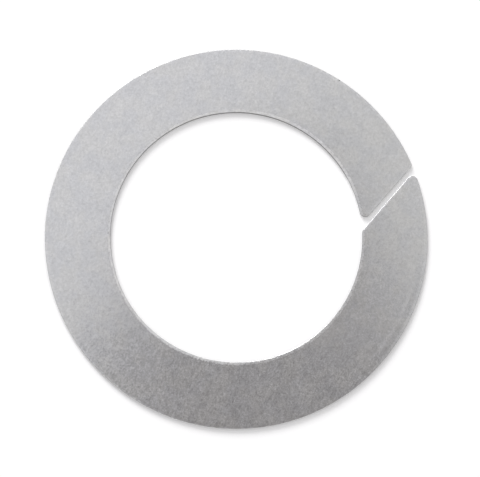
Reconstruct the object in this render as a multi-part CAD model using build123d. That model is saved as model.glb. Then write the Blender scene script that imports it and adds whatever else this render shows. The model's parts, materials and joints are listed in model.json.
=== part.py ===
"""Split flat shim ring, punched from thin sheet and opened by one slanted cut.

Millimetres.  The ring lies flat on the XY plane, +Z up, with the axis of its bore on Z and
its split centred on +X.  The punched side, with the rolled-over edges, faces up.
"""

import os

from build123d import *

# Ring
outer_diameter = 50.8
bore_diameter = 33.5
thickness = 0.5

# Split: its opening square to the two walls, and its lean from the radius through its middle
split_gap = 0.65
split_slant = 34.0  # degrees

# Corners beside the split, measured on the flat top inside the roll-over
tip_flat_radius = 0.35  # the two sharp tips
heel_flat_radius = 0.05  # the two wide corners

# Punched edge, the same all the way round
roll_over_width = 0.4  # the top starts to droop this far in from the wall
roll_over_depth = 0.015  # and has dropped this much where it reaches the wall
nose_radius = 0.06  # rounding between the drooping top and the wall
edge_break = 0.04  # small chamfer left on the lower edge by deburring

outer_radius = outer_diameter / 2
bore_radius = bore_diameter / 2
middle_radius = (outer_radius + bore_radius) / 2
shoulder_height = thickness - roll_over_depth


def round_corners(face):
    """Blunt the four corners of the split: heel, tip, tip, heel from low to high Y."""
    tips = face.vertices().sort_by(Axis.Y)[1:3]
    face = fillet(tips, roll_over_width + tip_flat_radius)
    corners = face.vertices().sort_by(Axis.Y)
    return fillet([corners[0], corners[-1]], roll_over_width + heel_flat_radius)


def ring_plan():
    """Plan of the ring between its walls, cut through on a slant."""
    strip = Rectangle(bore_diameter, split_gap)
    split = Pos(middle_radius, 0) * Rot(0, 0, split_slant) * strip
    ring = Circle(outer_radius) - Circle(bore_radius) - split
    return round_corners(ring).face()


def wall_ends(section):
    """The two corners of an edge section on its wall, the lower one first."""
    return section.vertices().group_by(Axis.X)[-1].sort_by(Axis.Y)


def edge_section():
    """Section of the punched edge, with its wall at x = 0 and the sheet towards -x."""
    droop_start = (-roll_over_width, thickness)
    shoulder = (0, shoulder_height)
    sides = Polyline(shoulder, (0, 0), (-roll_over_width, 0), droop_start)
    droop = TangentArc(droop_start, shoulder, tangent=(1, 0))
    section = make_face([*sides.edges(), droop])
    section = chamfer(wall_ends(section)[0], edge_break)
    return fillet(wall_ends(section)[-1], nose_radius).face()


def punched_edge(plan):
    """Carry the edge section once round the outline of the plan."""
    outline = plan.outer_wire()
    along = outline % 0
    outward = along.cross(Vector(0, 0, 1))
    station = Plane(origin=outline @ 0, x_dir=outward, z_dir=-along)
    return sweep(station * edge_section(), path=outline)


def shim_ring():
    """Flat middle of the sheet joined to its punched edge."""
    plan = ring_plan()
    flat_middle = extrude(offset(plan, -roll_over_width), thickness)
    return flat_middle + punched_edge(plan)


os.makedirs("parts", exist_ok=True)
export_step(shim_ring(), "parts/shim_ring.step")
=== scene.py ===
"""Looks of the split shim ring: dull sheet metal on a white table, seen from almost straight above."""

import json
import math

import bpy
from mathutils import Matrix, Vector

MM = 0.001

# Camera, seen from the ring: the picture's right is turned this far from the ring's +X
PICTURE_TURN = math.radians(-15.0)
CAMERA_TILT = math.radians(7.73)
CAMERA_SIDE = math.radians(-9.9)
CAMERA_DISTANCE = 205 * MM
CAMERA_LENS = 115.6
CAMERA_NEAR = 1 * MM
AIM_RIGHT = 0.451 * MM
AIM_UP = -0.265 * MM

# Table
FLOOR_SIZE = 2.0
FLOOR_COLOUR = (0.85, 0.85, 0.85)
FLOOR_GLOW = 0.21
FLOOR_DROP = 0.01 * MM  # keeps the table clear of the ring's flat underside

# Lamps: bearings anticlockwise from the picture's right, leans from straight up, in degrees
ROOM_LIGHT = 0.403
ROOM_TINT = (1.034, 1.0, 1.006)
PANEL_HEIGHT = 0.6
PANEL_FAR = 40  # lean of each panel's far edge
PANEL_HALF = 45  # lean of each panel's two ends, to either side
PANELS = (  # bearing, lean of the near edge, radiance, tint
    (141, 5.8, 0.585, (0.976, 1.0, 1.045)),
    (32, 10.4, 0.47, (0.978, 1.0, 1.005)),
)
KEY_BEARING, KEY_LEAN = 112, 62  # the lamp that throws the short shadow
KEY_DISTANCE = 1.2
KEY_WIDTH = 0.64
KEY_IRRADIANCE = 2.8  # square to the lamp

# Sheet metal: lump sizes of the noises, in millimetres
GRAIN = 0.20
TONE = 0.34
MOTTLE = 0.85
STAIN = 2.5
CLOUD = 6.0
WAVE = 14.0
ROLLING = 55  # bearing of the rolling strokes; bearings on the ring are degrees from +X
STROKE_STRETCH = 5.0
TUMBLING = (  # bearing, shade, and where in the noise the short marks of tumbling lie
    (40, -0.10, 0.0),
    (112, 0.09, 30.0),
    (-18, 0.07, 60.0),
    (75, -0.08, 90.0),
)
MARK_WIDTH = 0.11
MARK_STRETCH = 9.0
MARK_LIMITS = (0.30, 0.55)  # of the noise, from bare metal to a full mark

# Flat faces: colour, gloss, and how far each noise shifts the shade and the roughness
FACE_COLOUR = (0.60, 0.60, 0.60)
FACE_ROUGHNESS = 0.18
TONE_SHADE = 0.085
GRAIN_SHADE = 0.088
STROKE_SHADE = 0.03
MOTTLE_SHADE = 0.02
STAIN_SHADE = 0.03
CLOUD_SHADE = 0.014
MARK_SHADE = 0.4  # share of the tumbling marks that the whole ring has
SCUFF_GRAIN, SCUFF_STROKE, SCUFF_MOTTLE = 0.10, 0.05, 0.03  # added on the scuffed side
MOTTLE_ROUGH, GRAIN_ROUGH, CLOUD_ROUGH = 0.02, 0.02, 0.01
COOL, WARM = (0.996, 0.999, 1.009), (1.005, 1.001, 0.991)
TINT_LIMITS = (-0.5, 0.5)  # of the stain noise, from cool to warm
SCUFF_BEARING = 250  # the side of the ring that is more worn
SCUFF_REACH = (12.0, 18.0)  # from the middle of the bore to where it begins and is full
ARC_BEARING = -46  # middle of a faint light arc near the outer edge, with a darker strip outside it
ARC_REACH = (23.3, 23.8)  # along that bearing, to where the arc begins and is full
ARC_RADIUS, ARC_WIDTH = 24.05, 0.50
ARC_LIGHT, ARC_DARK = 0.08, -0.05  # shade of the arc, and of the strip outside it
NICK = (18.9, 16.9, 0.5)  # small dent on the outer edge, darkened with painted shade
NICK_SIZE = 0.20
NICK_PAINTED_SHADE = 0.5

# Heights of the relief, in millimetres for a noise or mark of 1
GRAIN_HEIGHT = 0.0006
STROKE_HEIGHT = 0.0004
MOTTLE_HEIGHT = 0.001
WAVE_HEIGHT = 0.01
MARK_HEIGHT = -0.0005
NICK_HEIGHT = -0.015
TORN_HEIGHT = 0.006

# Worn rims, lighter partly for wear and partly as a painted highlight: slopes in degrees
BORE_RIM = (0.3, 2.2)  # from where the roll-over is hardly worn to where it is all worn
OUTER_RIM = (1.5, 5.0)
RIM_WIDTH = 0.60  # how far from the bore its own rim reaches
RIM_BLEND = 0.1
RIM_ROUGHNESS = 0.58
# how much lighter the rims are: partly wear, partly a painted highlight
RIM_WEAR_AND_HIGHLIGHT = 1.12
RIM_PATCH = 0.32  # lump size of the patches
RIM_WANDER = 0.8  # how far the patches shift the rim's inner limit, as a slope
RIM_LIMITS = (-0.5, 0.1)  # of the patches, from least to full wear
RIM_LEAST = 0.5
RIM_DIM_SIDE = 305  # bearing of the side where the rim is least worn and least lightened: a painted shade
DIM_SIDE_REACH = (2.0, 14.0)  # from the middle of the bore to where the rim's wear and painted light fade and are least
DIM_SIDE_RIM = 0.3

# Sheared walls, darkened with painted shade
WALL_SLOPE = (45, 75)  # from flat face to wall
BURNISH_HEIGHT = 0.30  # above it the punch has smeared the wall, below it the metal tore
BURNISH_WANDER = 0.08
TORN_LIMITS = (-0.02, 0.02)  # depth below that height, from smeared to torn
# Wall colours: partly the smeared, torn and cut metal, partly painted shade for the shade on the walls
BURNISH_SHADED_COLOUR, BURNISH_ROUGHNESS = (0.20, 0.20, 0.20), 0.40
TORN_SHADED_COLOUR, TORN_ROUGHNESS = (0.18, 0.18, 0.18), 0.70
SPLIT_SHADED_COLOUR, SPLIT_ROUGHNESS = (0.43, 0.43, 0.43), 0.50
SPLIT_HALF_HEIGHT = 4.0  # of the split and its walls, along Y
SPLIT_BLEND = 0.2
SPLIT_SIDE = (0.0, 1.0)  # along X, to the half of the ring that holds the split
LIP_BEARING = 124  # square to the split
LIP_MIDDLE = -11.785  # middle of the split along that bearing
LIP_REACH = (0.85, 0.35)  # from the middle of the split, to where the painted highlight on its lips begins and is full
# painted highlight: how much lighter the lips beside the split are
LIP_PAINTED_HIGHLIGHT = 1.06


def picture_axes():
    """The picture's right and up directions on the table, in the ring's frame."""
    turn = Matrix.Rotation(PICTURE_TURN, 3, "Z")
    return turn @ Vector((1, 0, 0)), turn @ Vector((0, 1, 0))


def link(name, data):
    """A new object for a camera or lamp, in the scene."""
    thing = bpy.data.objects.new(name, data)
    bpy.context.scene.collection.objects.link(thing)
    return thing


class Graph:
    """Short names for the shader nodes that a material is made of."""

    def __init__(self, name):
        self.material = bpy.data.materials.new(name)
        self.material.use_nodes = True
        self.nodes = self.material.node_tree.nodes
        self.links = self.material.node_tree.links
        self.shader = self.nodes["Principled BSDF"].inputs

    def node(self, kind, **settings):
        node = self.nodes.new(kind)
        for name, value in settings.items():
            setattr(node, name, value)
        return node

    def feed(self, socket, value):
        if isinstance(value, bpy.types.NodeSocket):
            self.links.new(value, socket)
        else:
            socket.default_value = value

    def math(self, operation, *values):
        node = self.node("ShaderNodeMath", operation=operation)
        for socket, value in zip(node.inputs, values):
            self.feed(socket, value)
        return node.outputs[0]

    def step(self, value, start, end, low=0.0, high=1.0):
        """Smooth change from low to high while the value goes from start to end."""
        node = self.node("ShaderNodeMapRange", interpolation_type="SMOOTHSTEP")
        limits = {"From Min": start, "From Max": end, "To Min": low, "To Max": high}
        for name, number in limits.items():
            self.feed(node.inputs[name], number)
        self.feed(node.inputs["Value"], value)
        return node.outputs["Result"]

    def mix(self, factor, a, b):
        node = self.node("ShaderNodeMix", data_type="FLOAT")
        self.feed(node.inputs["Factor"], factor)
        self.feed(node.inputs["A"], a)
        self.feed(node.inputs["B"], b)
        return node.outputs["Result"]

    def mix_colour(self, factor, a, b, blend="MIX"):
        """Mix of two colours; the node has several sockets of each name, so these go by number."""
        node = self.node("ShaderNodeMix", data_type="RGBA", blend_type=blend)
        self.feed(node.inputs["Factor"], factor)
        self.feed(node.inputs[6], a)
        self.feed(node.inputs[7], b)
        return node.outputs[2]

    def parts(self, vector):
        node = self.node("ShaderNodeSeparateXYZ")
        self.feed(node.inputs[0], vector)
        return node.outputs

    def along(self, x, y, bearing):
        """How far a place lies along a bearing on the table."""
        turn = math.radians(bearing)
        return self.math("MULTIPLY_ADD", x, math.cos(turn), self.math("MULTIPLY", y, math.sin(turn)))

    def off(self, value, middle):
        """How far a value is from a middle, to either side."""
        return self.math("ABSOLUTE", self.math("SUBTRACT", value, middle))

    def distance(self, where, place):
        node = self.node("ShaderNodeVectorMath", operation="DISTANCE")
        self.feed(node.inputs[0], where)
        self.feed(node.inputs[1], place)
        return node.outputs["Value"]

    def scaled(self, vector, scale):
        node = self.node("ShaderNodeVectorMath", operation="SCALE")
        self.feed(node.inputs[0], vector)
        self.feed(node.inputs["Scale"], scale)
        return node.outputs[0]

    def total(self, start, *shares):
        """A start value with shares of other values added to it."""
        for value, share in shares:
            start = self.math("MULTIPLY_ADD", value, share, start)
        return start

    def noise(self, where, size, detail=2.0, roughness=0.5):
        """Noise from -1 to 1 or so, with lumps of a size in millimetres."""
        node = self.node("ShaderNodeTexNoise", noise_dimensions="3D", normalize=False)
        self.feed(node.inputs["Vector"], where)
        self.feed(node.inputs["Scale"], 1 / size)
        self.feed(node.inputs["Detail"], detail)
        self.feed(node.inputs["Roughness"], roughness)
        return node.outputs["Fac"]

    def stretched(self, where, turn, ratio, shift=0.0):
        """Millimetres turned about +Z and squeezed along the new X, which draws noise out into strokes."""
        node = self.node("ShaderNodeMapping", vector_type="TEXTURE")
        self.feed(node.inputs["Vector"], where)
        self.feed(node.inputs["Location"], (shift, shift, shift))
        self.feed(node.inputs["Rotation"], (0, 0, math.radians(turn)))
        self.feed(node.inputs["Scale"], (ratio, 1, 1))
        return node.outputs["Vector"]


def make_camera():
    right, up = picture_axes()
    lean = math.sin(CAMERA_TILT)
    back = right * math.sin(CAMERA_SIDE) * lean - up * math.cos(CAMERA_SIDE) * lean
    back += Vector((0, 0, math.cos(CAMERA_TILT)))
    data = bpy.data.cameras.new("camera")
    data.lens = CAMERA_LENS
    data.clip_start = CAMERA_NEAR
    camera = link("camera", data)
    side = up.cross(back).normalized()
    top = back.cross(side)
    camera.matrix_world = Matrix((side, top, back)).transposed().to_4x4()
    camera.location = back * CAMERA_DISTANCE + right * AIM_RIGHT + up * AIM_UP
    bpy.context.scene.camera = camera


def make_floor():
    """A white table: its own colour under the lamps, topped up to white where the camera sees it."""
    bpy.ops.mesh.primitive_plane_add(size=FLOOR_SIZE, location=(0, 0, -FLOOR_DROP))
    floor = bpy.context.object
    floor.name = "floor"
    g = Graph("floor_white")
    g.feed(g.shader["Base Color"], (*FLOOR_COLOUR, 1))
    g.feed(g.shader["Roughness"], 1.0)
    g.feed(g.shader["Specular IOR Level"], 0.0)
    g.feed(g.shader["Emission Color"], (1, 1, 1, 1))
    rays = g.node("ShaderNodeLightPath").outputs
    seen = g.math("MAXIMUM", rays["Is Camera Ray"], rays["Is Glossy Ray"])
    seen = g.math("MAXIMUM", seen, rays["Is Transmission Ray"])
    g.feed(g.shader["Emission Strength"], g.math("MULTIPLY", seen, FLOOR_GLOW))
    floor.data.materials.append(g.material)


def tumbling_marks(g, where):
    """Short fine marks in a few directions, each as a shade, and all together as a depth."""
    shade, depth = 0.0, 0.0
    for bearing, strength, shift in TUMBLING:
        noise = g.noise(g.stretched(where, bearing, MARK_STRETCH, shift), MARK_WIDTH, 0.0)
        mark = g.step(noise, *MARK_LIMITS)
        shade = g.total(shade, (mark, strength))
        depth = g.total(depth, (mark, 1.0))
    return shade, depth


def make_metal(bore_radius):
    """Dull tumbled steel: grain, tumbling marks and a scuffed side, a worn rim lightened partly with a
    painted highlight, light lips at the split painted as a highlight, and sheared walls and a nick
    darkened with painted shade.
    """
    g = Graph("sheet_steel")
    g.feed(g.shader["Metallic"], 1.0)

    where = g.scaled(g.node("ShaderNodeTexCoord").outputs["Object"], 1 / MM)
    x, y, z = g.parts(where)
    radius = g.math("SQRT", g.math("ADD", g.math("MULTIPLY", x, x), g.math("MULTIPLY", y, y)))
    upright = g.parts(g.node("ShaderNodeNewGeometry").outputs["Normal"])[2]
    slope = g.math("DEGREES", g.math("ARCCOSINE", g.math("ABSOLUTE", upright)))

    grain = g.noise(where, GRAIN, 3.0, 0.6)
    tone = g.noise(where, TONE)
    strokes = g.noise(g.stretched(where, ROLLING, STROKE_STRETCH), GRAIN)
    mottle = g.noise(where, MOTTLE)
    cloud = g.noise(where, CLOUD)
    wave = g.noise(where, WAVE, 0.0)
    stain = g.noise(where, STAIN, 3.0, 0.6)
    marks, mark_depth = tumbling_marks(g, where)

    # Flat faces: grain all over, more of it on the scuffed side, the faint light arc with its darker
    # strip, and the nick darkened with painted shade
    shade = g.total(1.0, (tone, TONE_SHADE), (grain, GRAIN_SHADE), (strokes, STROKE_SHADE))
    shade = g.total(shade, (mottle, MOTTLE_SHADE), (stain, STAIN_SHADE), (cloud, CLOUD_SHADE))
    scuff = g.step(g.along(x, y, SCUFF_BEARING), *SCUFF_REACH)
    scuffed = g.total(marks, (grain, SCUFF_GRAIN), (strokes, SCUFF_STROKE), (mottle, SCUFF_MOTTLE))
    shade = g.math("MULTIPLY_ADD", scuffed, scuff, shade)
    shade = g.total(shade, (marks, MARK_SHADE))
    # A faint light arc with a darker strip outside it, on one side near the outer edge
    arc_span = g.step(g.along(x, y, ARC_BEARING), *ARC_REACH)
    arc = g.step(g.off(radius, ARC_RADIUS), ARC_WIDTH, 0.0, 0.0, ARC_LIGHT)
    beyond = g.step(radius, ARC_RADIUS, ARC_RADIUS + ARC_WIDTH, 0.0, ARC_DARK)
    shade = g.math("MULTIPLY_ADD", g.math("ADD", arc, beyond), arc_span, shade)
    nick = g.step(g.distance(where, NICK), NICK_SIZE, NICK_SIZE / 2)
    # Painted shade: the dent is darkened for the shade in it
    shade = g.math("MULTIPLY", shade, g.mix(nick, 1.0, NICK_PAINTED_SHADE))
    tint = g.mix_colour(g.step(stain, *TINT_LIMITS), (*COOL, 1), (*WARM, 1))
    face = g.mix_colour(1.0, tint, (*FACE_COLOUR, 1), "MULTIPLY")
    roughness = g.total(FACE_ROUGHNESS, (mottle, MOTTLE_ROUGH), (grain, GRAIN_ROUGH), (cloud, CLOUD_ROUGH))

    # Painted highlight: lighter lips on both sides of the split
    at_split = g.step(g.math("ABSOLUTE", y), SPLIT_HALF_HEIGHT, SPLIT_HALF_HEIGHT - SPLIT_BLEND)
    at_split = g.math("MULTIPLY", at_split, g.step(x, *SPLIT_SIDE))
    aside = g.off(g.along(x, y, LIP_BEARING), LIP_MIDDLE)
    lip_highlight = g.math("MULTIPLY", at_split, g.step(aside, *LIP_REACH))
    shade = g.math("MULTIPLY", shade, g.mix(lip_highlight, 1.0, LIP_PAINTED_HIGHLIGHT))

    # Worn rims, wider round the bore, lighter partly for wear and partly as a painted highlight
    inside = g.step(radius, bore_radius + RIM_WIDTH, bore_radius + RIM_WIDTH - RIM_BLEND)
    start, end = (g.mix(inside, outer, bore) for outer, bore in zip(OUTER_RIM, BORE_RIM))
    patches = g.noise(where, RIM_PATCH, 2.0, 0.6)
    rim = g.step(g.total(slope, (patches, RIM_WANDER)), start, end)
    rim = g.math("MULTIPLY", rim, g.step(patches, *RIM_LIMITS, RIM_LEAST, 1.0))
    # Painted shade: the rims are worn and lightened less on one side, for the light falling less there
    rim = g.math("MULTIPLY", rim, g.step(g.along(x, y, RIM_DIM_SIDE), *DIM_SIDE_REACH, 1.0, DIM_SIDE_RIM))
    # The rims' lighter colour is partly wear and partly a painted highlight
    shade = g.math("MULTIPLY", shade, g.mix(rim, 1.0, RIM_WEAR_AND_HIGHLIGHT))
    roughness = g.mix(rim, roughness, RIM_ROUGHNESS)

    # Walls, smeared above and torn below, and the cleaner walls of the split, all darker than the faces
    # partly for their metal and partly with painted shade
    edge = g.total(BURNISH_HEIGHT, (g.noise(where, MOTTLE, 1.0), BURNISH_WANDER))
    torn = g.step(g.math("SUBTRACT", edge, z), *TORN_LIMITS)
    wall = g.step(slope, *WALL_SLOPE)
    wall_colour_and_shade = g.mix_colour(torn, (*BURNISH_SHADED_COLOUR, 1), (*TORN_SHADED_COLOUR, 1))
    wall_colour_and_shade = g.mix_colour(at_split, wall_colour_and_shade, (*SPLIT_SHADED_COLOUR, 1))
    wall_roughness = g.mix(torn, BURNISH_ROUGHNESS, TORN_ROUGHNESS)
    wall_roughness = g.mix(at_split, wall_roughness, SPLIT_ROUGHNESS)
    g.feed(g.shader["Base Color"], g.scaled(g.mix_colour(wall, face, wall_colour_and_shade), shade))
    g.feed(g.shader["Roughness"], g.mix(wall, roughness, wall_roughness))

    # Relief
    height = g.total(0.0, (grain, GRAIN_HEIGHT), (strokes, STROKE_HEIGHT), (mottle, MOTTLE_HEIGHT))
    height = g.total(height, (wave, WAVE_HEIGHT), (mark_depth, MARK_HEIGHT), (nick, NICK_HEIGHT))
    rough_wall = g.math("MULTIPLY", g.math("MULTIPLY", wall, torn), grain)
    height = g.total(height, (rough_wall, TORN_HEIGHT))
    bump = g.node("ShaderNodeBump")
    g.feed(bump.inputs["Strength"], 1.0)
    g.feed(bump.inputs["Distance"], MM)
    g.feed(bump.inputs["Height"], height)
    g.feed(g.shader["Normal"], bump.outputs[0])
    return g.material


def make_world():
    world = bpy.data.worlds.new("world")
    bpy.context.scene.world = world
    world.use_nodes = True
    colour = [ROOM_LIGHT * part for part in ROOM_TINT]
    world.node_tree.nodes["Background"].inputs["Color"].default_value = (*colour, 1)


def tangent(angle):
    return math.tan(math.radians(angle))


def make_panel(bearing, near_lean, radiance, tint):
    """A wide dim panel overhead; the metal mirrors it, and its near edge is a change across the ring."""
    turn = math.radians(bearing)
    right, up = picture_axes()
    along = right * math.cos(turn) + up * math.sin(turn)
    across = up * math.cos(turn) - right * math.sin(turn)
    near, far = tangent(near_lean) * PANEL_HEIGHT, tangent(PANEL_FAR) * PANEL_HEIGHT
    data = bpy.data.lights.new("panel", "AREA")
    data.shape = "RECTANGLE"
    data.size = far - near
    data.size_y = 2 * tangent(PANEL_HALF) * PANEL_HEIGHT
    data.energy = radiance * math.pi * data.size * data.size_y
    data.color = tint
    panel = link("panel", data)
    panel.matrix_world = Matrix((along, across, Vector((0, 0, 1)))).transposed().to_4x4()
    panel.location = along * (near + far) / 2 + Vector((0, 0, PANEL_HEIGHT))


def make_key_lamp():
    """A soft round lamp that shines on the ring from one side."""
    right, up = picture_axes()
    turn, lean = math.radians(KEY_BEARING), math.radians(KEY_LEAN)
    towards = (right * math.cos(turn) + up * math.sin(turn)) * math.sin(lean)
    towards += Vector((0, 0, math.cos(lean)))
    data = bpy.data.lights.new("lamp", "AREA")
    data.shape = "DISK"
    data.size = KEY_WIDTH
    data.energy = KEY_IRRADIANCE * math.pi * KEY_DISTANCE**2
    lamp = link("lamp", data)
    lamp.location = towards * KEY_DISTANCE
    lamp.rotation_euler = towards.to_track_quat("Z", "Y").to_euler()


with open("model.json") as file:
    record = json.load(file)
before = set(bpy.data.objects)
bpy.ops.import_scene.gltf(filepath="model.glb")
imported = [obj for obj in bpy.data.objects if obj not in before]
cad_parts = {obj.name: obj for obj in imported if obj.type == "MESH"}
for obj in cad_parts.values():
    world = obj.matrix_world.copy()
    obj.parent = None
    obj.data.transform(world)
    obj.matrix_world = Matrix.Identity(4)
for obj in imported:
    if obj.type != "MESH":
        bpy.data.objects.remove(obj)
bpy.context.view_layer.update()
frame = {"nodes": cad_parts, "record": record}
make_camera()
make_floor()
make_world()
for panel in PANELS:
    make_panel(*panel)
make_key_lamp()
ring = frame["nodes"]["shim_ring"]
ring.data.materials.clear()
bore = next(m for m in frame["record"]["mounts"] if m["name"] == "bore")
ring.data.materials.append(make_metal(bore["dims"]["r_mm"]))
bpy.context.scene.view_settings.view_transform = "Standard"
